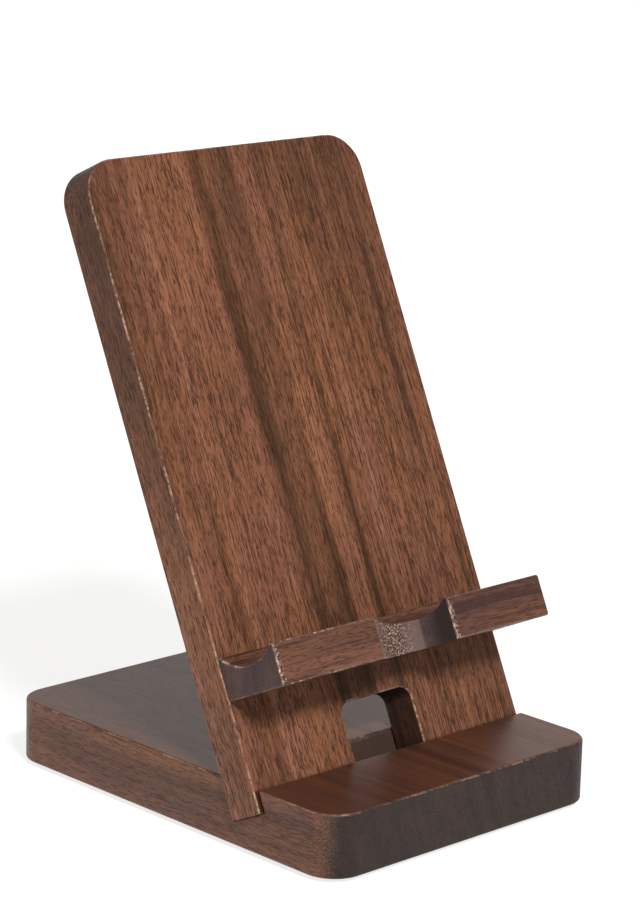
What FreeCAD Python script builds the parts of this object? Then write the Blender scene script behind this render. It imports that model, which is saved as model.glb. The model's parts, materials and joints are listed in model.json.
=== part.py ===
import FreeCAD, Part
import math
import os

import Sketcher

# Wooden phone stand, in millimetres. +Z is up, the phone faces -Y, and the origin is the centre
# of the base board's outline, on the plane that the four pads stand on.
#
# The back panel leans backwards and drops loose into a housing cut across the base board.
# A ledge with a coved top is glued and dowelled to the panel's front. The backrest pieces are
# drawn upright in a frame of their own (x across, y backwards from the panel's front face,
# z up from the panel's foot), and their Placement leans that frame back.

SIZES = [
    ("base_width", 85, "base board, side to side"),
    ("base_depth", 110, "base board, front to back"),
    ("base_thick", 15, "base board, top to bottom"),
    ("base_corner", 8, "radius of the base board's four upright corners"),
    ("base_ease", 0.7, "rounding of the base board's outer edges"),
    ("housing_ease", 0.4, "rounding of the housing's edges"),
    ("pad_thick", 1, "anti-slip pad, top to bottom"),
    ("pad_radius", 5, "anti-slip pad"),
    ("pad_inset", 14, "pad centre to the base board's sides"),
    ("pad_ease", 0.3, "rounding of a pad's lower rim"),
    ("lean", 25, "panel's angle back from upright, in degrees"),
    ("front_line", -30.55, "y where the panel's front face meets the base board's top"),
    ("housing_sunk", 5.35, "length of the panel's front face below the base board's top"),
    ("front_gap", 0.4, "space between the panel's front face and the housing"),
    ("rear_gap", 0.3, "space between the panel's rear face and the housing"),
    ("panel_width", 85, "back panel, side to side"),
    ("panel_length", 150, "back panel, foot to top"),
    ("panel_thick", 9.8, "back panel, front to rear"),
    ("panel_corner", 9, "radius of the panel's two upper corners"),
    ("panel_ease", 0.6, "rounding of the panel's front and rear edges"),
    ("panel_shift", -1, "x of the panel's centre: it stands off centre in its open housing"),
    ("arch_width", 22, "cable opening in the panel's foot"),
    ("arch_height", 18.5, "cable opening, up from the foot"),
    ("arch_corner", 3, "radius of the cable opening's upper corners"),
    ("ledge_width", 85, "ledge, side to side"),
    ("ledge_depth", 19, "ledge, out from the panel's front face"),
    ("ledge_thick", 9.8, "ledge, underside to top"),
    ("ledge_rise", 25.4, "panel's foot to the ledge's underside"),
    ("ledge_shift", 0.3, "x of the ledge's centre from the panel's centre"),
    ("ledge_ease", 0.6, "rounding of the ledge's outer edges"),
    ("cove_radius", 13.5, "hollow along the ledge's top, which holds the phone's lower edge"),
    ("front_land", 1, "flat strip in front of the hollow"),
    ("rear_land", 0.5, "flat strip behind the hollow"),
    ("notch_width", 23.4, "cable notch in the ledge's front edge"),
    ("notch_depth", 7, "cable notch, back from the ledge's front"),
    ("notch_deepest", 7.7, "x of the notch's deepest point from the ledge's centre"),
    ("notch_radius", 3.5, "notch's tight curve, beside its deepest point"),
    ("dowel_radius", 2, "glued dowel between ledge and panel"),
    ("dowel_pitch", 56, "between the two dowels"),
    ("dowel_rise", 3.25, "ledge's underside to a dowel's axis"),
    ("dowel_in_panel", 6, "length of a dowel inside the panel"),
    ("dowel_in_ledge", 8, "length of a dowel inside the ledge"),
    ("dowel_chamfer", 0.4, "on a dowel's two ends"),
    ("glue_gap", 0.05, "space for glue around a dowel"),
    ("glue_end", 0.4, "space for glue past a dowel's end"),
]
size = {name: value for name, value, meaning in SIZES}

doc = FreeCAD.newDocument("phone_stand")
sheet = doc.addObject("Spreadsheet::Sheet", "sizes")
for row, (name, value, meaning) in enumerate(SIZES, start=1):
    sheet.set(f"A{row}", meaning)
    sheet.set(f"B{row}", str(value))
    sheet.setAlias(f"B{row}", name)
doc.recompute()

# Expressions for lengths that follow from the sheet.
FOOT_Y = "sizes.front_line - sizes.housing_sunk * sin(sizes.lean)"
FOOT_Z = "sizes.pad_thick + sizes.base_thick - sizes.housing_sunk * cos(sizes.lean)"
HOUSING_WIDE = "sizes.panel_thick + sizes.front_gap + sizes.rear_gap"
CLEAR = 2.0  # how far a cutting sketch reaches past the wood


def named_plane(body, role):
    return next(part for part in body.Origin.OriginFeatures if part.Role == role)


def new_body(label, placement):
    """Body whose Placement is bound to the sheet, turned about the X axis where it is turned."""
    body = doc.addObject("PartDesign::Body", label)
    body.Label = label
    body.Placement = FreeCAD.Placement(FreeCAD.Vector(), FreeCAD.Rotation(FreeCAD.Vector(1, 0, 0), 1))
    for path, expression in {"Placement.Rotation.Angle": "0", **placement}.items():
        body.setExpression(path, expression)
    return body


def new_sketch(body, name, role):
    sketch = body.newObject("Sketcher::SketchObject", f"{body.Label}_{name}")
    sketch.AttachmentSupport = [(named_plane(body, role), "")]
    sketch.MapMode = "FlatFace"
    return sketch


def constrain(sketch, *constraint, value=None):
    """Add a constraint. Where value is an expression, the dimension is bound to it."""
    if value is None:
        sketch.addConstraint(Sketcher.Constraint(*constraint))
        return
    start = sketch.evalExpression(value)
    start = getattr(start, "Value", start)
    index = sketch.addConstraint(Sketcher.Constraint(*constraint, start))
    sketch.setExpression(f"Constraints[{index}]", value)


def closed_lines(sketch, corners):
    """Straight lines round the corners, joined end to end."""
    count = len(corners)
    for i in range(count):
        start = FreeCAD.Vector(*corners[i], 0)
        end = FreeCAD.Vector(*corners[(i + 1) % count], 0)
        sketch.addGeometry(Part.LineSegment(start, end))
    for i in range(count):
        constrain(sketch, "Coincident", i, 2, (i + 1) % count, 1)


def rectangle(sketch, width, height, low=None):
    """Rectangle centred on the sketch's upright axis. It is centred on the origin, or has its
    lower side on the other axis ("axis") or at the height low."""
    closed_lines(sketch, [(-20, -5), (20, -5), (20, 15), (-20, 15)])
    constrain(sketch, "Horizontal", 2)
    for line in (1, 3):
        constrain(sketch, "Vertical", line)
    if low is None:
        constrain(sketch, "Horizontal", 0)
        constrain(sketch, "Symmetric", 0, 1, 2, 1, -1, 1)
    else:
        constrain(sketch, "Symmetric", 0, 1, 0, 2, -2)
        if low == "axis":
            constrain(sketch, "PointOnObject", 0, 1, -1)
        else:
            constrain(sketch, "DistanceY", -1, 1, 0, 1, value=low)
    constrain(sketch, "DistanceX", 0, 1, 0, 2, value=width)
    constrain(sketch, "DistanceY", 1, 1, 1, 2, value=height)


def circle(sketch, across, up, radius):
    index = sketch.addGeometry(Part.Circle(FreeCAD.Vector(1, 1, 0), FreeCAD.Vector(0, 0, 1), 1))
    constrain(sketch, "DistanceX", -1, 1, index, 3, value=across)
    constrain(sketch, "DistanceY", -1, 1, index, 3, value=up)
    constrain(sketch, "Radius", index, value=radius)


def finish_feature(body, feature, must_cut):
    """Recompute, and check that the feature added or removed material as it should."""
    before = feature.BaseFeature.Shape.Volume if feature.BaseFeature else 0.0
    doc.recompute()
    change = feature.Shape.Volume - before
    if (change < 0) != must_cut or abs(change) < 1e-6:
        raise RuntimeError(f"{feature.Name} changed the volume by {change:.4f}")
    return feature


def pad(body, name, sketch, length, **settings):
    feature = body.newObject("PartDesign::Pad", f"{body.Label}_{name}")
    feature.Profile = sketch
    feature.setExpression("Length", length)
    for key, value in settings.items():
        setattr(feature, key, value)
    return finish_feature(body, feature, must_cut=False)


def pocket(body, name, sketch, length=None, **settings):
    """Cut the sketch's outline to a length, or right through where no length is given."""
    feature = body.newObject("PartDesign::Pocket", f"{body.Label}_{name}")
    feature.Profile = sketch
    if length is None:
        feature.Type = "ThroughAll"
    else:
        feature.setExpression("Length", length)
    for key, value in settings.items():
        setattr(feature, key, value)
    return finish_feature(body, feature, must_cut=True)


def edges_where(body, test):
    """Names of the body's present edges for which test(middle point, direction) is true."""
    names = []
    for index, edge in enumerate(body.Tip.Shape.Edges, start=1):
        half_way = (edge.FirstParameter + edge.LastParameter) / 2
        if test(edge.valueAt(half_way), edge.tangentAt(half_way)):
            names.append(f"Edge{index}")
    return names


def dress_up(body, name, edges, amount, kind="Fillet", must_cut=True):
    """Round the edges off, or chamfer them. Rounding an inner corner adds material."""
    before = body.Tip
    feature = body.newObject(f"PartDesign::{kind}", f"{body.Label}_{name}")
    feature.Base = (before, edges)
    feature.setExpression("Radius" if kind == "Fillet" else "Size", amount)
    return finish_feature(body, feature, must_cut)


def near(value, target):
    return abs(value - target) < 1e-4


def along(direction, axis):
    return abs(getattr(direction, axis)) > 0.999


def make_base_board():
    body = new_body("base_board", {"Placement.Base.z": "sizes.pad_thick"})
    outline = new_sketch(body, "outline", "XY_Plane")
    rectangle(outline, "sizes.base_width", "sizes.base_depth")
    pad(body, "board", outline, "sizes.base_thick")
    upright = edges_where(body, lambda middle, run: along(run, "z"))
    dress_up(body, "corners", upright, "sizes.base_corner")

    # The housing's section, in the plane across the board: four corners whose walls lean as the
    # panel does, open past the board's top.
    housing = new_sketch(body, "housing", "YZ_Plane")
    closed_lines(housing, [(-33, 10), (-23, 6), (-18, 17), (-30, 17)])
    floor, rear_wall, mouth, front_wall = range(4)
    constrain(housing, "Perpendicular", floor, rear_wall)
    constrain(housing, "Perpendicular", floor, front_wall)
    constrain(housing, "Horizontal", mouth)
    front_y = f"{FOOT_Y} - sizes.front_gap * cos(sizes.lean)"
    front_z = f"{FOOT_Z} + sizes.front_gap * sin(sizes.lean) - sizes.pad_thick"
    constrain(housing, "DistanceX", -1, 1, floor, 1, value=front_y)
    constrain(housing, "DistanceY", -1, 1, floor, 1, value=front_z)
    constrain(housing, "DistanceX", floor, 1, floor, 2, value=f"({HOUSING_WIDE}) * cos(sizes.lean)")
    constrain(housing, "DistanceY", floor, 2, floor, 1, value=f"({HOUSING_WIDE}) * sin(sizes.lean)")
    constrain(housing, "DistanceY", -1, 1, mouth, 1, value=f"sizes.base_thick + {CLEAR}")
    pocket(body, "housing_cut", housing, SideType="Symmetric")

    top, side = size["base_thick"], size["base_width"] / 2
    inside = size["base_depth"] / 2 - size["base_corner"]

    def housing_mouth(middle, run):
        return near(middle.z, top) and along(run, "x") and abs(middle.y) < inside

    def outer_edge(middle, run):
        return (near(middle.z, top) or near(middle.z, 0)) and not housing_mouth(middle, run)

    def housing_end(middle, run):
        return near(abs(middle.x), side) and abs(middle.y) < inside and 1 < middle.z < top - 1

    dress_up(body, "outer_ease", edges_where(body, outer_edge), "sizes.base_ease")
    housing_edges = edges_where(body, lambda *edge: housing_mouth(*edge) or housing_end(*edge))
    dress_up(body, "housing_ease", housing_edges, "sizes.housing_ease")
    return body


def make_pad(label, side, end):
    """One round pad under the board, at side (-1 left, 1 right) and end (-1 front, 1 rear)."""
    body = new_body(label, {})
    outline = new_sketch(body, "outline", "XY_Plane")
    circle(
        outline,
        f"{side} * (sizes.base_width / 2 - sizes.pad_inset)",
        f"{end} * (sizes.base_depth / 2 - sizes.pad_inset)",
        "sizes.pad_radius",
    )
    pad(body, "disc", outline, "sizes.pad_thick")
    dress_up(body, "ease", edges_where(body, lambda middle, run: near(middle.z, 0)),
             "sizes.pad_ease")
    return body


BACKREST = {
    "Placement.Base.x": "sizes.panel_shift",
    "Placement.Base.y": FOOT_Y,
    "Placement.Base.z": FOOT_Z,
    "Placement.Rotation.Angle": "-sizes.lean",
}
LEDGE_X = "sizes.ledge_shift"
DOWEL_UP = "sizes.ledge_rise + sizes.dowel_rise"


def dowel_across(side, centre):
    return f"{centre} + {side} * sizes.dowel_pitch / 2"


def make_back_panel():
    body = new_body("back_panel", BACKREST)
    outline = new_sketch(body, "outline", "XZ_Plane")
    rectangle(outline, "sizes.panel_width", "sizes.panel_length", low="axis")
    pad(body, "board", outline, "sizes.panel_thick", Reversed=True)

    arch = new_sketch(body, "arch", "XZ_Plane")
    rectangle(arch, "sizes.arch_width", f"sizes.arch_height + {CLEAR}", low=f"-{CLEAR}")
    pocket(body, "arch_cut", arch)
    arch_top = size["arch_height"]

    def arch_corner(middle, run):
        return along(run, "y") and near(middle.z, arch_top)

    def top_corner(middle, run):
        return along(run, "y") and near(middle.z, size["panel_length"])

    dress_up(body, "arch_corners", edges_where(body, arch_corner), "sizes.arch_corner",
             must_cut=False)
    dress_up(body, "top_corners", edges_where(body, top_corner), "sizes.panel_corner")

    def face_outline(middle, run):
        return near(middle.y, 0) or near(middle.y, size["panel_thick"])

    dress_up(body, "ease", edges_where(body, face_outline), "sizes.panel_ease")

    holes = new_sketch(body, "dowel_holes", "XZ_Plane")
    for side in (-1, 1):
        circle(holes, dowel_across(side, LEDGE_X), DOWEL_UP, "sizes.dowel_radius + sizes.glue_gap")
    pocket(body, "dowel_bores", holes, "sizes.dowel_in_panel + sizes.glue_end")
    return body


def make_phone_ledge():
    body = new_body("phone_ledge", {**BACKREST, "Placement.Base.x": f"sizes.panel_shift + {LEDGE_X}"})

    # Section: a bar as deep as the ledge, with a round hollow between two flat strips on its top.
    section = new_sketch(body, "section", "YZ_Plane")
    rise, depth = size["ledge_rise"], size["ledge_depth"]
    top = rise + size["ledge_thick"]
    front, rear = -depth + size["front_land"], -size["rear_land"]
    half_chord = (rear - front) / 2
    centre_up = top + (size["cove_radius"] ** 2 - half_chord ** 2) ** 0.5
    corners = [(front, top), (-depth, top), (-depth, rise), (0, rise), (0, top), (rear, top)]
    points = [FreeCAD.Vector(*corner, 0) for corner in corners]
    for start, end in zip(points, points[1:]):
        section.addGeometry(Part.LineSegment(start, end))
    low_point = FreeCAD.Vector((front + rear) / 2, centre_up - size["cove_radius"], 0)
    section.addGeometry(Part.Arc(points[0], low_point, points[-1]))
    front_strip, front_face, underside, rear_face, rear_strip, cove = range(6)
    for line in (front_strip, front_face, underside, rear_face):
        constrain(section, "Coincident", line, 2, line + 1, 1)
    constrain(section, "Coincident", front_strip, 1, cove, 1)
    constrain(section, "Coincident", rear_strip, 2, cove, 2)
    for line in (front_strip, underside, rear_strip):
        constrain(section, "Horizontal", line)
    for line in (front_face, rear_face):
        constrain(section, "Vertical", line)
    constrain(section, "PointOnObject", rear_face, 1, -2)
    constrain(section, "Horizontal", front_strip, 1, rear_strip, 2)
    constrain(section, "DistanceY", -1, 1, underside, 2, value="sizes.ledge_rise")
    constrain(section, "DistanceY", rear_face, 1, rear_face, 2, value="sizes.ledge_thick")
    constrain(section, "DistanceX", underside, 1, underside, 2, value="sizes.ledge_depth")
    constrain(section, "DistanceX", front_strip, 2, front_strip, 1, value="sizes.front_land")
    constrain(section, "DistanceX", rear_strip, 2, rear_strip, 1, value="sizes.rear_land")
    constrain(section, "Radius", cove, value="sizes.cove_radius")
    pad(body, "bar", section, "sizes.ledge_width", SideType="Symmetric")

    # Cable notch, seen from above: a wide curve in from the left, which turns at its deepest point
    # into a tight one, and a straight run back out to the ledge's front.
    notch = new_sketch(body, "notch", "XY_Plane")
    left, right = -size["notch_width"] / 2, size["notch_width"] / 2
    deepest, reach = size["notch_deepest"], -depth + size["notch_depth"]
    wide = ((deepest - left) ** 2 + size["notch_depth"] ** 2) / (2 * size["notch_depth"])
    tight = size["notch_radius"]
    corner = FreeCAD.Vector(deepest + tight, reach - tight, 0)
    bottom = FreeCAD.Vector(deepest, reach, 0)
    left_end, right_end = FreeCAD.Vector(left, -depth, 0), FreeCAD.Vector(right, -depth, 0)
    out = FreeCAD.Vector(0, -CLEAR, 0)

    def on_curve(radius, turn):
        """Point on a curve through the notch's bottom, so many radians round from there."""
        return bottom + FreeCAD.Vector(math.sin(turn), math.cos(turn) - 1, 0) * radius

    wide_middle = on_curve(wide, -math.asin((deepest - left) / wide) / 2)
    tight_middle = on_curve(tight, math.pi / 4)
    wide_arc, tight_arc, side_run, right_out, across, left_out = range(6)
    notch.addGeometry(Part.Arc(bottom, wide_middle, left_end))
    notch.addGeometry(Part.Arc(corner, tight_middle, bottom))
    for start, end in (
        (corner, right_end),
        (right_end, right_end + out),
        (right_end + out, left_end + out),
        (left_end + out, left_end),
    ):
        notch.addGeometry(Part.LineSegment(start, end))
    constrain(notch, "Tangent", wide_arc, 1, tight_arc, 2)
    constrain(notch, "Tangent", tight_arc, 1, side_run, 1)
    constrain(notch, "Coincident", side_run, 2, right_out, 1)
    constrain(notch, "Coincident", right_out, 2, across, 1)
    constrain(notch, "Coincident", across, 2, left_out, 1)
    constrain(notch, "Coincident", left_out, 2, wide_arc, 2)
    constrain(notch, "Vertical", right_out)
    constrain(notch, "Horizontal", across)
    constrain(notch, "Vertical", left_out)
    constrain(notch, "Vertical", wide_arc, 1, wide_arc, 3)
    constrain(notch, "Radius", tight_arc, value="sizes.notch_radius")
    constrain(notch, "DistanceX", -1, 1, wide_arc, 1, value="sizes.notch_deepest")
    constrain(notch, "DistanceX", -1, 1, wide_arc, 2, value="-sizes.notch_width / 2")
    constrain(notch, "DistanceX", -1, 1, side_run, 2, value="sizes.notch_width / 2")
    constrain(notch, "DistanceY", -1, 1, wide_arc, 2, value="-sizes.ledge_depth")
    constrain(notch, "DistanceY", -1, 1, side_run, 2, value="-sizes.ledge_depth")
    constrain(notch, "DistanceY", wide_arc, 2, wide_arc, 1, value="sizes.notch_depth")
    constrain(notch, "DistanceY", right_out, 2, right_out, 1, value=str(CLEAR))
    pocket(body, "notch_cut", notch, Reversed=True)

    half = size["ledge_width"] / 2

    def outer_edge(middle, run):
        at_end = near(abs(middle.x), half) and middle.y < -1e-4
        at_front = near(middle.y, -depth)
        return at_end or at_front

    dress_up(body, "ease", edges_where(body, outer_edge), "sizes.ledge_ease")

    holes = new_sketch(body, "dowel_holes", "XZ_Plane")
    for side in (-1, 1):
        circle(holes, dowel_across(side, "0"), DOWEL_UP, "sizes.dowel_radius + sizes.glue_gap")
    pocket(body, "dowel_bores", holes, "sizes.dowel_in_ledge + sizes.glue_end", Reversed=True)
    return body


def make_dowel(label, side):
    body = new_body(label, BACKREST)
    outline = new_sketch(body, "outline", "XZ_Plane")
    circle(outline, dowel_across(side, LEDGE_X), DOWEL_UP, "sizes.dowel_radius")
    rod = pad(body, "rod", outline, "sizes.dowel_in_ledge", SideType="Two sides")
    rod.setExpression("Length2", "sizes.dowel_in_panel")
    finish_feature(body, rod, must_cut=False)
    rims = edges_where(body, lambda middle, run: not along(run, "y"))
    dress_up(body, "chamfer", rims, "sizes.dowel_chamfer", kind="Chamfer")
    return body


parts = [make_base_board(), make_back_panel(), make_phone_ledge()]
for side, side_name in ((-1, "left"), (1, "right")):
    parts.append(make_dowel(f"ledge_dowel_{side_name}", side))
    for end, end_name in ((-1, "front"), (1, "rear")):
        parts.append(make_pad(f"pad_{end_name}_{side_name}", side, end))

doc.recompute()
for item in doc.Objects:
    if "Invalid" in item.State or "Error" in item.State:
        raise RuntimeError(f"{item.Name} did not recompute: {item.State}")
for part in parts:
    if part.Shape.isNull() or not part.Shape.isValid() or len(part.Shape.Solids) != 1:
        raise RuntimeError(f"{part.Label} is not one valid solid")

os.makedirs("parts", exist_ok=True)
for part in parts:
    part.Shape.exportStep(f"parts/{part.Label}.step")
    print(part.Label, round(part.Shape.Volume, 1), part.Shape.BoundBox)
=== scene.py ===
import json
import math

import bpy
from mathutils import Matrix, Vector


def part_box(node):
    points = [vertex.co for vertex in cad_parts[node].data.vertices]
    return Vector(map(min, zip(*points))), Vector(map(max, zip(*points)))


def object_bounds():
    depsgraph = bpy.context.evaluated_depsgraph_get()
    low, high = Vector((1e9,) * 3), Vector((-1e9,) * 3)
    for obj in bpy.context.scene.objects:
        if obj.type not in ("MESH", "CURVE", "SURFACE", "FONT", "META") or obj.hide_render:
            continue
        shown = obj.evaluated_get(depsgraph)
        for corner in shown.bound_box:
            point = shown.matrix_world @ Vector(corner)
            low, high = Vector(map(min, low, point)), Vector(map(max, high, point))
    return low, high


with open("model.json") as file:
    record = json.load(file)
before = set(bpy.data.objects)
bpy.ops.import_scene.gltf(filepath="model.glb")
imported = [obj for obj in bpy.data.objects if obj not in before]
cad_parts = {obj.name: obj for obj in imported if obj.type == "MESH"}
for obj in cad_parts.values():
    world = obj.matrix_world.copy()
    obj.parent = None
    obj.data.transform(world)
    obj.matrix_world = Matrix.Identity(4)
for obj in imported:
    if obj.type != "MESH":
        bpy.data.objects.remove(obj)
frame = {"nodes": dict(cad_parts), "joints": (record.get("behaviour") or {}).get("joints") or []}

# Walnut phone stand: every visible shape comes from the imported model. This script gives the
# boards their wood, the pads their rubber and the dowels their beech, and sets up the studio.

cad_low, cad_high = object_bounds()
MM = 0.001

# The backrest leans back by the angle between its sliding direction and upright.
lift = Vector(frame["joints"][0]["axis"]).normalized()
LEAN = math.atan2(lift.y, lift.z)


def rgb(red, green, blue):
    """Linear colour from display values between 0 and 255."""
    def linear(value):
        share = value / 255
        return share / 12.92 if share <= 0.04045 else ((share + 0.055) / 1.055) ** 2.4
    return (linear(red), linear(green), linear(blue), 1.0)


def grey(light):
    """Linear colour without a hue."""
    return (light, light, light, 1.0)


class Shader:
    """A material's node tree, with short calls for the nodes the materials are made of. Each
    call takes numbers or earlier outputs, and returns the new node's output."""

    def __init__(self, name):
        self.material = bpy.data.materials.new(name)
        self.material.use_nodes = True
        self.tree = self.material.node_tree
        self.tree.nodes.clear()
        self.surface = self.node("ShaderNodeBsdfPrincipled")
        output = self.node("ShaderNodeOutputMaterial")
        self.tree.links.new(self.surface.outputs["BSDF"], output.inputs["Surface"])

    def node(self, kind, **settings):
        made = self.tree.nodes.new(kind)
        for key, value in settings.items():
            setattr(made, key, value)
        return made

    def feed(self, socket, value):
        """Link a socket to an earlier output, or set it. None leaves it as it is."""
        if isinstance(value, bpy.types.NodeSocket):
            self.tree.links.new(value, socket)
        elif value is not None:
            socket.default_value = value

    def math(self, operation, first, second=None, third=None, clamp=False):
        made = self.node("ShaderNodeMath", operation=operation, use_clamp=clamp)
        for socket, value in zip(made.inputs, (first, second, third)):
            self.feed(socket, value)
        return made.outputs[0]

    def times(self, first, *others):
        for other in others:
            first = self.math("MULTIPLY", first, other)
        return first

    def largest(self, first, *others):
        for other in others:
            first = self.math("MAXIMUM", first, other)
        return first

    def absolute(self, value):
        return self.math("ABSOLUTE", value)

    def swung(self, value, chance, size, clamp=False):
        """A value moved up and down by noise, which is 0.5 on average."""
        centred = self.math("SUBTRACT", chance, 0.5)
        return self.math("MULTIPLY_ADD", centred, size, value, clamp=clamp)

    def vector(self, operation, first, second):
        made = self.node("ShaderNodeVectorMath", operation=operation)
        self.feed(made.inputs[0], first)
        self.feed(made.inputs[1], second)
        return made.outputs["Vector"]

    def scaled(self, vector, scale):
        made = self.node("ShaderNodeVectorMath", operation="SCALE")
        self.feed(made.inputs[0], vector)
        self.feed(made.inputs["Scale"], scale)
        return made.outputs["Vector"]

    def split(self, vector):
        made = self.node("ShaderNodeSeparateXYZ")
        self.feed(made.inputs[0], vector)
        return list(made.outputs)

    def join(self, x, y, z):
        made = self.node("ShaderNodeCombineXYZ")
        for socket, value in zip(made.inputs, (x, y, z)):
            self.feed(socket, value)
        return made.outputs[0]

    def noise(self, vector, repeats, detail=2.0, roughness=0.5, colour=False):
        """Noise in space. repeats says how often it repeats, along each axis, in one unit."""
        made = self.node("ShaderNodeTexNoise")
        self.feed(made.inputs["Vector"], self.vector("MULTIPLY", vector, repeats))
        made.inputs["Scale"].default_value = 1.0
        made.inputs["Detail"].default_value = detail
        made.inputs["Roughness"].default_value = roughness
        return made.outputs["Color" if colour else "Fac"]

    def line_noise(self, value, detail, roughness=0.5):
        """Noise along one coordinate only."""
        made = self.node("ShaderNodeTexNoise", noise_dimensions="1D")
        self.feed(made.inputs["W"], value)
        made.inputs["Scale"].default_value = 1.0
        made.inputs["Detail"].default_value = detail
        made.inputs["Roughness"].default_value = roughness
        return made.outputs["Fac"]

    def cells(self, vector, repeats):
        """Distance to the nearest of many points, strewn as densely as repeats says."""
        made = self.node("ShaderNodeTexVoronoi")
        self.feed(made.inputs["Vector"], self.vector("MULTIPLY", vector, repeats))
        made.inputs["Scale"].default_value = 1.0
        return made.outputs["Distance"]

    def between(self, value, low, high, to_low=0.0, to_high=1.0):
        """Smooth step from to_low, at low, to to_high, at high."""
        made = self.node("ShaderNodeMapRange", interpolation_type="SMOOTHSTEP")
        for socket, given in zip(made.inputs, (value, low, high, to_low, to_high)):
            self.feed(socket, given)
        return made.outputs["Result"]

    def below(self, value, low, high):
        """Smooth step from 1, at low, to 0, at high."""
        return self.between(value, low, high, 1.0, 0.0)

    def ramp(self, value, stops):
        made = self.node("ShaderNodeValToRGB")
        elements = made.color_ramp.elements
        while len(elements) < len(stops):
            elements.new(0.5)
        for element, (place, colour) in zip(elements, stops):
            element.position = place
            element.color = colour
        self.feed(made.inputs[0], value)
        return made.outputs["Color"]

    def mix(self, share, first, second, blend="MIX"):
        made = self.node("ShaderNodeMix", data_type="RGBA", blend_type=blend)
        colours = [socket for socket in made.inputs if socket.type == "RGBA"]
        self.feed(made.inputs["Factor"], share)
        self.feed(colours[0], first)
        self.feed(colours[1], second)
        return next(socket for socket in made.outputs if socket.type == "RGBA")

    def bump(self, height, distance, strength):
        made = self.node("ShaderNodeBump")
        made.inputs["Strength"].default_value = strength
        made.inputs["Distance"].default_value = distance
        self.feed(made.inputs["Height"], height)
        self.feed(self.surface.inputs["Normal"], made.outputs["Normal"])

    def set(self, **sockets):
        for name, value in sockets.items():
            self.feed(self.surface.inputs[name.replace("_", " ")], value)


def board_space(shader, centre, lean, grain):
    """Millimetres from the board's centre as (across, through, along the grain), and the surface's
    direction in the same order. grain is X, Y or Z of the board before it leans."""
    order = {"X": (1, 2, 0), "Y": (0, 2, 1), "Z": (0, 1, 2)}[grain]
    source = shader.node("ShaderNodeTexCoord")
    found = []
    for output, origin in (("Object", centre), ("Normal", (0, 0, 0))):
        mapping = shader.node("ShaderNodeMapping", vector_type="TEXTURE")
        shader.feed(mapping.inputs["Vector"], source.outputs[output])
        mapping.inputs["Location"].default_value = origin
        mapping.inputs["Rotation"].default_value = (-lean, 0, 0)
        axes = shader.split(mapping.outputs["Vector"])
        found.append([axes[i] for i in order])
    place, facing = found
    return shader.scaled(shader.join(*place), 1 / MM), facing


# Walnut's hue drifts between plum and amber. The rest is what pores, tools, oil and wear add,
# with painted highlight on eased edges and painted shade in the cable arch and the housing's gap.
PLUM = rgb(112, 96, 132)
AMBER = rgb(150, 128, 96)
PORE = rgb(50, 24, 12)
TORN_DULL = rgb(84, 66, 60)
TORN_GREY = rgb(97, 79, 73)
TORN_PALE = rgb(170, 141, 125)
DARK_GREY_CUT = rgb(46, 36, 36)
CLEAN_END = rgb(72, 53, 44)
# Pale paint for eased edges: a painted highlight, like rubbed wear.
RUB_AND_HIGHLIGHT = rgb(214, 180, 158)

# How often each figure in the wood repeats in a millimetre: across the grain, through the board
# and along the grain.
BEND = (0.03, 0.03, 0.012)
WAVER = (0.2, 0.2, 0.03)
CURL = (0.06, 0.06, 0.12)
MOTTLE = (0.07, 0.07, 0.02)
HUE = (0.11, 0.11, 0.018)
PINSTRIPES = (1.4, 0.45, 0.013)
FIBRES = (3.4, 3.4, 0.19)
PORE_CROWDS = (0.2, 0.2, 0.03)
PORE_DASHES = (3.0, 3.0, 0.32)
PORE_LENSES = (1.7, 1.7, 0.28)
END_GROWTH = (0.18, 0.06, 0.05)
TORN_FIBRES = (2.4, 2.2, 2.0)
WORN_STRETCHES = (0.1, 0.1, 0.1)
NICKS = (0.9, 0.9, 0.9)
FINE_RINGS = 0.30
EDGE_DASHES = 0.5

# How far the grain strays in mm, in the same order.
STRAY_BEND = (2.5, 2.0, 0.0)
STRAY_WAVER = (0.5, 0.5, 0.0)
STRAY_CURL = (0.0, 0.5, 0.0)
BAND_STRAY = 1.6

# How far the growth lines shift across the board for each mm through it.
SECTION_SLANT = 0.35

# How far one board's wood is from the next one's, in mm for each unit of its seed.
SEED_STEP = (37.0, 11.0, 53.0)

# In each pair from here on, one look starts to give way to another at the first number and has
# done so at the second. The first pairs are shares of a noise's range, whose middle is 0.5. Torn
# fibres have three colours, and so three numbers.
HUE_SHARES = (0.35, 0.65)
STRIPE_SHARES = (0.50, 0.62)
FIBRE_SHARES = (0.33, 0.54)
CROWD_SHARES = (0.3, 0.7)
WORN_SHARES = (0.38, 0.6)
NICK_SHARES = (0.44, 0.58)
EDGE_DASH_SHARES = (0.48, 0.55)
SOAKED_SHARES = (0.38, 0.62)
TORN_SHARES = (0.48, 0.53, 0.60)
GLOSS_SHARES = (0.2, 0.8)

# A share of the board's width, from the left or the front, and of the space between two pores.
STRIPES_GROW = (0.35, 0.7)
LENS_REACH = (0.12, 0.28)

# How squarely a surface faces one of the board's axes: 0 is edge on, and 1 is square on.
FLAT_FACE = (0.6, 0.95)
END_FACE = (0.3, 0.85)
END_WALL = (0.3, 0.8)
CUT_WALL = (0.1, 0.4)
OBLIQUE_FROM = (0.2, 0.4)
OBLIQUE_TO = (0.6, 0.9)
ROUND_CORNER = (0.1, 0.3)

# An eased edge faces two ways at once. So the square of how squarely it faces one axis is well
# below 1, and that square times what it lacks of 1 is well above 0.
EDGE_TURN = (0.75, 0.95)
EDGE_BOTH_WAYS = (0.08, 0.2)

# How squarely a surface faces one way: to the rear or the right, or below 0 the opposite way.
PANEL_FRONT = (-0.9, -0.6)
LEDGE_FRONT_FACE = (-0.98, -0.8)
NOTCH_RIGHT_WALL = (-0.5, -0.2)
NOTCH_GREY = (-0.25, 0.1)
NOTCH_PALE = (0.0, 0.34)

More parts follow.
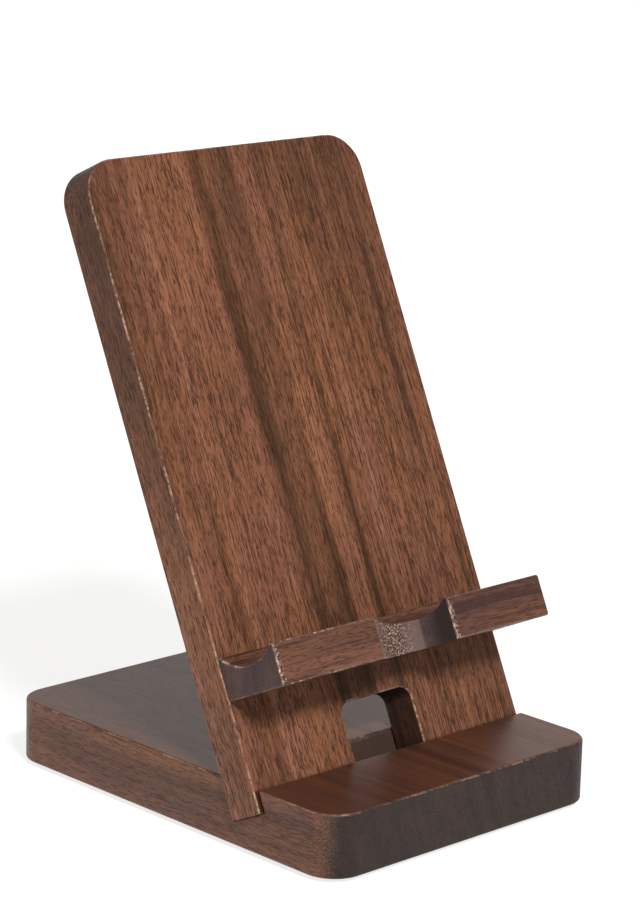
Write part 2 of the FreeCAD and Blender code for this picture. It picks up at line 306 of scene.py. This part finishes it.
# Places on the boards, in mm from each board's centre.
RIM_INSIDE_FACE = (1.0, 0.7)
RIM_INSIDE_END = (0.7, 0.4)
HOUSING = (44.0, 46.0)
ARCH_SIDES = (11.2, 11.6)
ARCH_TOP = (-56.0, -55.6)
SUNK_STRIP = (-70.2, -69.4)
# Where the painted shade in the housing's gap fades, from the panel's left end.
SUNK_SHADE_FADE = (-41.5, -38.0)
LEDGE_FRONT = -9.5
LEDGE_FRONT_EDGE = (LEDGE_FRONT + 0.6, LEDGE_FRONT + 0.9)
LEDGE_UNDERSIDE = (-4.4, -3.4)
LEDGE_DASHES = (-26.0, -20.0)
BEHIND_FRONT = (-9.4, -9.0)
NOTCH_MIDDLE = (25.0, 26.0)
CHIPPED_LEFT = (-41.5, -41.1)
NOTCH_HIGHLIGHT_FROM = (11.0, 11.4)
NOTCH_HIGHLIGHT_TO = (12.6, 13.0)


def face_rim(board):
    """Where a surface turns between a board's flat face and its edges."""
    square = board.times(board.facing[1], board.facing[1])
    both_ways = board.times(square, board.math("SUBTRACT", 1.0, square))
    start, full = [board.look["thick"] / 2 - inside for inside in RIM_INSIDE_FACE]
    near_face = board.between(board.absolute(board.through), start, full)
    return board.times(near_face, board.between(both_ways, *EDGE_BOTH_WAYS))


def ledge_rim(board):
    """Where the ledge's surface turns, at its two ends, at the notch's right edge and more faintly
    along its front, but not in its hollow. Short dashes of its front get the painted highlight at
    the left."""
    low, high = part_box("phone_ledge")
    at_end = (high.x - low.x) / 2 / MM
    start, full = [at_end - inside for inside in RIM_INSIDE_END]
    near_end = board.times(
        board.between(board.absolute(board.along), start, full, 0.0, 0.8),
        board.between(board.through, *LEDGE_UNDERSIDE, 0.4, 1.0),
    )
    chips_and_highlight = board.between(board.facing[2], *NOTCH_RIGHT_WALL, 1.0, 0.3)
    dashes = board.line_noise(board.times(board.along, EDGE_DASHES), detail=1.0)
    dashes = board.times(board.between(dashes, *EDGE_DASH_SHARES, 0.0, 1.6),
                         board.below(board.along, *LEDGE_DASHES))
    near_front = board.times(board.below(board.across, *LEDGE_FRONT_EDGE),
                             board.largest(chips_and_highlight, dashes))
    flattest = board.largest(*[board.times(axis, axis) for axis in board.facing])
    turning = board.below(flattest, *EDGE_TURN)
    return board.times(turning, board.largest(near_end, near_front))


def corner_cut(board, wood, torn):
    """The round corners, cut across the grain: a little torn."""
    turned = board.absolute(board.facing[2])
    oblique = board.times(board.between(turned, *OBLIQUE_FROM), board.below(turned, *OBLIQUE_TO))
    upright = board.between(board.absolute(board.facing[1]), *ROUND_CORNER, 0.12, 0.0)
    return board.mix(board.times(oblique, upright), wood, torn), 0.0


def base_cut(board, wood, torn):
    """The base board's round corners, and its housing's walls, which are clean end grain."""
    wood = corner_cut(board, wood, torn)[0]
    walls = board.times(board.below(board.absolute(board.along), *HOUSING),
                        board.between(board.absolute(board.facing[2]), *END_WALL, 0.0, 0.6))
    return board.mix(walls, wood, CLEAN_END), 0.0


def panel_cut(board, wood, torn):
    """The panel's round corners, its cable arch, whose walls are painted darker and greyer as
    shade, and the strip of its front face that stands in the housing, painted dark as the shade in
    the gap there."""
    wood = corner_cut(board, wood, torn)[0]
    walls = board.below(board.absolute(board.facing[1]), *CUT_WALL)
    inside = board.times(board.below(board.absolute(board.across), *ARCH_SIDES),
                         board.below(board.along, *ARCH_TOP))
    # Painted shade: the arch's walls are painted half way to dark grey, for the shade inside the
    # arch.
    wood = board.mix(board.times(walls, inside, 0.5), wood, DARK_GREY_CUT)
    # Painted shade: the strip of the front face in the housing is painted dark, most at the left
    # end, for the shade in the gap between the panel and the housing.
    front = board.below(board.facing[1], *PANEL_FRONT)
    sunk = board.below(board.along, *SUNK_STRIP)
    gap_shade = board.times(front, sunk, board.between(board.across, *SUNK_SHADE_FADE, 0.95, 0.25))
    return board.mix(gap_shade, wood, PORE), 0.0


def notch_cut(board, wood, torn):
    """The ledge's cable notch: pale torn fibres where its wall faces right, on the left, and dark
    grey where it faces left. At its left end the ledge's front is chipped. Beside the notch's
    right edge its front gets the same pale torn fibres, a painted highlight along that edge."""
    cut = board.times(
        board.between(board.across, *BEHIND_FRONT),
        board.below(board.absolute(board.facing[1]), *CUT_WALL),
        board.below(board.absolute(board.along), *NOTCH_MIDDLE),
    )
    dark = board.mix(0.75, wood, DARK_GREY_CUT)
    dark = board.mix(board.between(board.facing[2], *NOTCH_GREY), dark, TORN_GREY)
    pale = board.between(board.facing[2], *NOTCH_PALE, 0.0, 0.95)
    wood = board.mix(cut, wood, board.mix(pale, dark, torn))
    front = board.between(board.facing[0], *LEDGE_FRONT_FACE, 0.85, 0.0)
    # Painted highlight: beside the notch's right edge the front is painted with pale torn fibres.
    beside_notch = board.times(board.between(board.along, *NOTCH_HIGHLIGHT_FROM),
                               board.below(board.along, *NOTCH_HIGHLIGHT_TO))
    chips_and_highlight = board.largest(board.below(board.along, *CHIPPED_LEFT), beside_notch)
    return board.mix(board.times(front, chips_and_highlight), wood, torn), cut


# What may differ from board to board.
LOOK = {
    "width": 85.0,  # across the grain, in mm
    "thick": 9.8,  # through it, in mm
    "fade": 30.0,  # from its foot's bands and painted face shade to its top's, in mm either side of its centre
    "rings": 0.6,  # strength of the fine growth
    "flat": (grey(1.0), grey(1.0)),  # painted shade on its flat faces, at the foot and at the top; white paints none
    "calm": 0.0,  # how far its flat faces lose their pores and fibres
    "stripes": 0.20,  # strength of its pinstripes
    "fibres": 0.30,  # strength of its fibres
    "pores": 0.75,  # strength of its pores
    "hue": 0.5,  # strength of its drift in hue
    "cut": corner_cut,  # gives the wood where it is cut, and how dull that leaves it
    "gloss": 0.34,  # roughness at the smoothest
    "specular": 0.3,  # strength of its reflections
    "end": (rgb(40, 32, 36), rgb(70, 50, 45)),  # its end grain, cool and warm
    "rim": face_rim,  # gives where its edges are eased
    "rub_and_highlight": 0.6,  # how pale they are painted: rubbed wear and a painted highlight
}


class Walnut(Shader):
    """Oiled walnut for one board. After wander, each method adds something to the wood so far."""

    def __init__(self, name, node, lean, grain, seed, tones, bands, **look):
        super().__init__(name)
        self.look = {**LOOK, **look}
        low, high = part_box(node)
        self.place, self.facing = board_space(self, (low + high) / 2, lean, grain)
        self.across, self.through, self.along = self.split(self.place)
        self.flat = self.between(self.absolute(self.facing[1]), *FLAT_FACE)
        self.calm = self.times(self.flat, self.look["calm"])
        self.shifted = self.vector("ADD", self.place, [seed * step for step in SEED_STEP])
        self.wander()
        wood = self.growth(tones, bands)
        wood = self.with_face_shade_and_hue(wood)
        wood, fibre = self.with_fibres(wood)
        wood, pores = self.with_pores(wood)
        wood, end, dull = self.with_cuts(wood)
        wood = self.with_rubbed_highlit_edges(wood)
        self.finish(wood, fibre, pores, end, dull)

    def wander(self):
        """The grain wanders: slow bends over centimetres, and a fine waver. It also dives in and
        out of the surface, which cuts the pores short."""
        bend = self.noise(self.shifted, BEND, detail=1.0, colour=True)
        waver = self.noise(self.shifted, WAVER, detail=1.0, colour=True)
        curl = self.noise(self.shifted, CURL, detail=1.0, colour=True)
        self.wandered = self.shifted
        for drift, size in ((bend, STRAY_BEND), (waver, STRAY_WAVER), (curl, STRAY_CURL)):
            centred = self.vector("SUBTRACT", drift, (0.5, 0.5, 0.5))
            strayed = self.vector("MULTIPLY", centred, size)
            self.wandered = self.vector("ADD", self.wandered, strayed)
        across, through, along = self.split(self.wandered)
        self.ring = self.math("MULTIPLY_ADD", through, SECTION_SLANT, across)
        self.growth_lines = self.join(self.ring, through, along)
        wavered = self.math("MULTIPLY_ADD", self.split(waver)[0], BAND_STRAY, self.across)
        width = self.look["width"]
        self.share = self.math("MULTIPLY_ADD", wavered, 1 / width, 0.5 - BAND_STRAY / 2 / width)
        self.towards_top = self.between(self.along, -self.look["fade"], self.look["fade"])

    def growth(self, tones, bands):
        """Broad bands that are listed, and finer ones by chance, along a slanting section. tones
        are the colours of dark, middle and light growth. bands are how light it is across the
        board, at its foot and at its top, which are the two ends of its grain: pairs of a share of
        the width and a lightness."""
        foot, top = [
            self.ramp(self.share, [(where, grey(light)) for where, light in levels])
            for levels in bands
        ]
        fine = self.line_noise(self.times(self.ring, FINE_RINGS), detail=4.0, roughness=0.6)
        mottle = self.noise(self.shifted, MOTTLE, detail=3.0, roughness=0.6)
        growth = self.swung(self.mix(self.towards_top, foot, top), fine, self.look["rings"])
        growth = self.swung(growth, mottle, 0.6, clamp=True)
        return self.ramp(growth, list(zip((0.0, 0.5, 1.0), tones)))

    def with_face_shade_and_hue(self, wood):
        """Painted shade on the flat faces, darker than the edges where it is not white, and a hue
        that drifts.
        """
        painted_face_shade = self.mix(self.towards_top, *self.look["flat"])
        wood = self.mix(self.flat, wood, self.mix(1.0, wood, painted_face_shade, blend="MULTIPLY"))
        hue = self.between(self.noise(self.shifted, HUE), *HUE_SHARES)
        return self.mix(self.look["hue"], wood, self.mix(hue, PLUM, AMBER), blend="SOFT_LIGHT")

    def with_fibres(self, wood):
        """Pinstripes, stronger to one side, and fibres a fraction of a millimetre wide."""
        stripes = self.noise(self.growth_lines, PINSTRIPES, roughness=0.7)
        stripes = self.times(self.between(stripes, *STRIPE_SHARES, 0.0, self.look["stripes"]),
                             self.between(self.share, *STRIPES_GROW, 0.6, 1.1))
        fibre = self.noise(self.wandered, FIBRES, detail=3.0, roughness=0.8)
        strength = self.look["fibres"]
        light = self.between(fibre, *FIBRE_SHARES, 1 - strength, 1 + 0.33 * strength)
        light = self.times(light, self.math("SUBTRACT", 1.0, stripes))
        light = self.mix(self.calm, self.join(light, light, light), grey(1.0))
        return self.mix(1.0, wood, light, blend="MULTIPLY"), fibre

    def with_pores(self, wood):
        """Dark dashes along the grain, which are dots on the end grain. They crowd in bands."""
        crowd = self.noise(self.shifted, PORE_CROWDS)
        dashes = self.noise(self.wandered, PORE_DASHES, roughness=0.65)
        start = self.between(crowd, *CROWD_SHARES, 0.58, 0.50)
        dashes = self.between(dashes, start, self.math("ADD", start, 0.07))
        lenses = self.below(self.cells(self.wandered, PORE_LENSES), *LENS_REACH)
        pores = self.times(self.largest(self.times(dashes, 0.85), lenses),
                           self.math("SUBTRACT", 1.0, self.calm))
        return self.mix(self.times(pores, self.look["pores"]), wood, PORE), pores

    def with_cuts(self, wood):
        """Cut ends soak up the oil and are darker, and an oblique cut leaves pale torn fibres."""
        end = self.between(self.absolute(self.facing[2]), *END_FACE)
        soaked = self.noise(self.growth_lines, END_GROWTH, detail=4.0, roughness=0.65)
        soaked = self.ramp(soaked, list(zip(SOAKED_SHARES, self.look["end"])))
        wood = self.mix(end, wood, self.mix(0.85, wood, soaked))
        torn = self.noise(self.shifted, TORN_FIBRES, roughness=0.7)
        torn = self.ramp(torn, list(zip(TORN_SHARES, (PORE, TORN_DULL, TORN_PALE))))
        wood, dull = self.look["cut"](self, wood, torn)
        return wood, end, dull

    def with_rubbed_highlit_edges(self, wood):
        """Eased edges are painted pale, here more and there less: a painted highlight, broken up
        like rubbed wear.
        """
        worn = self.noise(self.shifted, WORN_STRETCHES)
        nicks = self.noise(self.shifted, NICKS, detail=3.0, roughness=0.7)
        rub_and_highlight = self.times(self.between(worn, *WORN_SHARES, 0.2, 1.0),
                         self.between(nicks, *NICK_SHARES, 0.15, 1.0), self.look["rub_and_highlight"])
        return self.mix(self.times(self.look["rim"](self), rub_and_highlight), wood, RUB_AND_HIGHLIGHT)

    def finish(self, wood, fibre, pores, end, dull):
        """Roughness, and the relief of fibres and open pores."""
        gloss = self.look["gloss"]
        rough = self.between(fibre, *GLOSS_SHARES, gloss, gloss + 0.12)
        rough = self.math("MULTIPLY_ADD", pores, 0.2, rough)
        rough = self.math("MULTIPLY_ADD", end, 0.1, rough)
        rough = self.math("MULTIPLY_ADD", dull, 0.35, rough, clamp=True)
        self.set(Base_Color=wood, Roughness=rough, IOR=1.5,
                 Specular_IOR_Level=self.look["specular"])
        self.bump(self.math("SUBTRACT", self.times(fibre, 0.35), pores), 0.05 * MM, strength=0.3)


def beech():
    """Pale dowel wood, with short rays."""
    shader = Shader("beech_dowel")
    low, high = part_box("ledge_dowel_left")
    place = board_space(shader, (low + high) / 2, LEAN, "Y")[0]
    fibre = shader.noise(place, (3.0, 3.0, 0.4), detail=3.0, roughness=0.6)
    rays = shader.below(shader.cells(place, (2.0, 2.0, 0.6)), 0.1, 0.3)
    wood = shader.ramp(fibre, [(0.3, rgb(176, 132, 92)), (0.7, rgb(214, 176, 134))])
    wood = shader.mix(shader.times(rays, 0.5), wood, rgb(146, 100, 66))
    shader.set(Base_Color=wood, Roughness=shader.between(fibre, 0.3, 0.7, 0.6, 0.75))
    shader.bump(fibre, 0.05 * MM, strength=0.3)
    return shader.material


def rubber():
    """Black anti-slip foam rubber, with a fine open skin and dust on its rim."""
    shader = Shader("pad_rubber")
    source = shader.node("ShaderNodeTexCoord")
    place = shader.scaled(source.outputs["Object"], 1 / MM)
    skin = shader.cells(place, (3.0, 3.0, 3.0))
    dust = shader.noise(place, (0.6, 0.6, 0.6), detail=4.0, roughness=0.7)
    colour = shader.ramp(dust, [(0.35, rgb(24, 24, 25)), (0.75, rgb(58, 57, 56))])
    shader.set(Base_Color=colour, Roughness=shader.between(dust, 0.3, 0.7, 0.7, 0.9))
    shader.bump(skin, 0.08 * MM, strength=0.5)
    return shader.material


def dress(node, material):
    """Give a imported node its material, in place of each plain one that it carries."""
    piece = frame["nodes"][node]
    for surface in piece.material_slots:
        surface.material = material


PANEL_TONES = (rgb(57, 38, 15), rgb(122, 81, 58), rgb(151, 106, 80))
PANEL_FOOT = (
    (0.00, 0.58), (0.05, 0.50), (0.09, 0.48), (0.115, 0.28), (0.14, 0.60), (0.30, 0.58),
    (0.37, 0.46), (0.385, 0.08), (0.40, 0.14), (0.44, 0.32), (0.495, 0.16), (0.52, 0.50),
    (0.57, 0.54), (0.605, 0.10), (0.635, 0.45), (0.70, 0.56), (0.80, 0.50), (0.90, 0.50),
    (1.00, 0.42),
)
PANEL_TOP = (
    (0.00, 0.20), (0.09, 0.40), (0.12, 0.34), (0.15, 0.56), (0.30, 0.52), (0.355, 0.50),
    (0.378, 0.06), (0.395, 0.12), (0.415, 0.40), (0.47, 0.40), (0.495, 0.36), (0.53, 0.53),
    (0.58, 0.50), (0.605, 0.32), (0.64, 0.46), (0.70, 0.42), (0.78, 0.35), (0.88, 0.33),
    (1.00, 0.44),
)
BASE_TONES = (rgb(86, 57, 42), rgb(114, 78, 58), rgb(132, 92, 68))
BASE_BANDS = (
    (0.0, 0.5), (0.25, 0.35), (0.4, 0.6), (0.55, 0.4), (0.7, 0.6), (0.85, 0.4), (1.0, 0.5),
)
LEDGE_TONES = (rgb(72, 48, 37), rgb(113, 78, 60), rgb(140, 102, 80))
LEDGE_LEFT = ((0.0, 0.47), (0.4, 0.55), (0.6, 0.40), (1.0, 0.45))
LEDGE_RIGHT = ((0.0, 0.27), (0.4, 0.50), (0.6, 0.35), (1.0, 0.45))

panel = Walnut(
    "walnut_panel", "back_panel", LEAN, "Z", 0.0, PANEL_TONES, (PANEL_FOOT, PANEL_TOP),
    hue=0.35, stripes=0.45, fibres=0.72, pores=0.9, cut=panel_cut, specular=0.18, rub_and_highlight=0.45,
)
# Painted shade: the base's top is painted darker than its sides, for a top lit less than the
# sides, and darker still towards the rear, which evens out the panel's shadow there.
base = Walnut(
    "walnut_base", "base_board", 0.0, "Y", 1.0, BASE_TONES, (BASE_BANDS, BASE_BANDS),
    thick=15.0, flat=((0.60, 0.52, 0.50, 1.0), (0.40, 0.34, 0.34, 1.0)), calm=0.8, rings=1.4,
    stripes=0.42, fibres=0.5, pores=0.65, cut=base_cut, end=(rgb(4, 5, 10), rgb(20, 13, 13)),
    rub_and_highlight=0.2,
)
ledge = Walnut(
    "walnut_ledge", "phone_ledge", LEAN, "X", 2.0, LEDGE_TONES, (LEDGE_LEFT, LEDGE_RIGHT),
    width=19.0, rings=0.8, stripes=0.75, fibres=0.45, pores=0.9, cut=notch_cut,
    end=(rgb(42, 33, 35), rgb(72, 49, 43)), rim=ledge_rim,
)
dress("back_panel", panel.material)
dress("base_board", base.material)
dress("phone_ledge", ledge.material)
for side in ("left", "right"):
    dress(f"ledge_dowel_{side}", beech())
    for end in ("front", "rear"):
        dress(f"pad_{end}_{side}", rubber())


def floor():
    """A light table, so that shadows on it stay pale."""
    half = 40.0
    mesh = bpy.data.meshes.new("floor")
    corners = [(-half, -half, 0), (half, -half, 0), (half, half, 0), (-half, half, 0)]
    mesh.from_pydata(corners, [], [(0, 1, 2, 3)])
    plane = bpy.data.objects.new("floor", mesh)
    bpy.context.scene.collection.objects.link(plane)
    shader = Shader("floor_paper")
    source = shader.node("ShaderNodeTexCoord")
    cloud = shader.noise(source.outputs["Object"], (40.0, 40.0, 40.0))
    shader.set(
        Base_Color=shader.ramp(cloud, [(0.0, rgb(136, 136, 135)), (1.0, rgb(142, 142, 141))]),
        Roughness=0.9,
        Emission_Color=rgb(255, 255, 254),
        Emission_Strength=0.8,
    )
    plane.data.materials.append(shader.material)


def towards(azimuth, elevation):
    """Direction from the object to something. Azimuth 0 is at -Y, and -90 at -X."""
    turn, rise = math.radians(azimuth), math.radians(elevation)
    return Vector((
        math.sin(turn) * math.cos(rise),
        -math.cos(turn) * math.cos(rise),
        math.sin(rise),
    ))


def lamp(name, kind, azimuth, elevation, distance, strength, **settings):
    """Light that faces the object's middle."""
    data = bpy.data.lights.new(name, kind)
    data.energy = strength
    for key, value in settings.items():
        setattr(data, key, value)
    made = bpy.data.objects.new(name, data)
    away = towards(azimuth, elevation)
    made.location = (cad_low + cad_high) / 2 + away * distance
    made.rotation_euler = (-away).to_track_quat("-Z", "Y").to_euler()
    bpy.context.scene.collection.objects.link(made)
    return made


def studio():
    """Pale even surroundings that are brighter near the floor, a broad lamp from the front and
    above, and a softbox behind, which only shows in reflections."""
    world = bpy.data.worlds.new("studio")
    bpy.context.scene.world = world
    world.use_nodes = True
    nodes, links = world.node_tree.nodes, world.node_tree.links
    sky = nodes["Background"]
    sky.inputs["Color"].default_value = (1.0, 0.96, 0.92, 1.0)
    direction = nodes.new("ShaderNodeTexCoord")
    rise = nodes.new("ShaderNodeSeparateXYZ")
    fade = nodes.new("ShaderNodeMapRange")
    fade.interpolation_type = "SMOOTHSTEP"
    low, high, strength_low, strength_high = 0.05, 0.2, 1.0, 0.34
    for socket, value in zip(fade.inputs, (0.0, low, high, strength_low, strength_high)):
        socket.default_value = value
    links.new(direction.outputs["Generated"], rise.inputs[0])
    links.new(rise.outputs["Z"], fade.inputs["Value"])
    links.new(fade.outputs["Result"], sky.inputs["Strength"])
    lamp("overhead", "SUN", azimuth=-20, elevation=44, distance=3.0, strength=3.2,
         angle=math.radians(12))
    softbox = lamp("behind", "AREA", azimuth=140, elevation=15, distance=1.4, strength=3.5,
                   size=1.2, color=(1.0, 0.86, 0.83))
    softbox.visible_diffuse = False
    bpy.context.scene.view_settings.view_transform = "Standard"


def camera():
    """Long lens, from the front left and a little above."""
    aim = Vector((2.0, -1.9, 80.2)) * MM
    away = towards(-44.148, 13.90)
    distance = 735.5 * MM
    roll = math.radians(1.528)
    lens = bpy.data.cameras.new("camera")
    lens.sensor_width = 36.0
    lens.lens = 127.51
    lens.clip_start = 0.01
    made = bpy.data.objects.new("camera", lens)
    place = Matrix.Translation(aim + away * distance)
    level = (-away).to_track_quat("-Z", "Y").to_matrix().to_4x4()
    made.matrix_world = place @ level @ Matrix.Rotation(roll, 4, "Z")
    bpy.context.scene.collection.objects.link(made)
    bpy.context.scene.camera = made


floor()
studio()
camera()
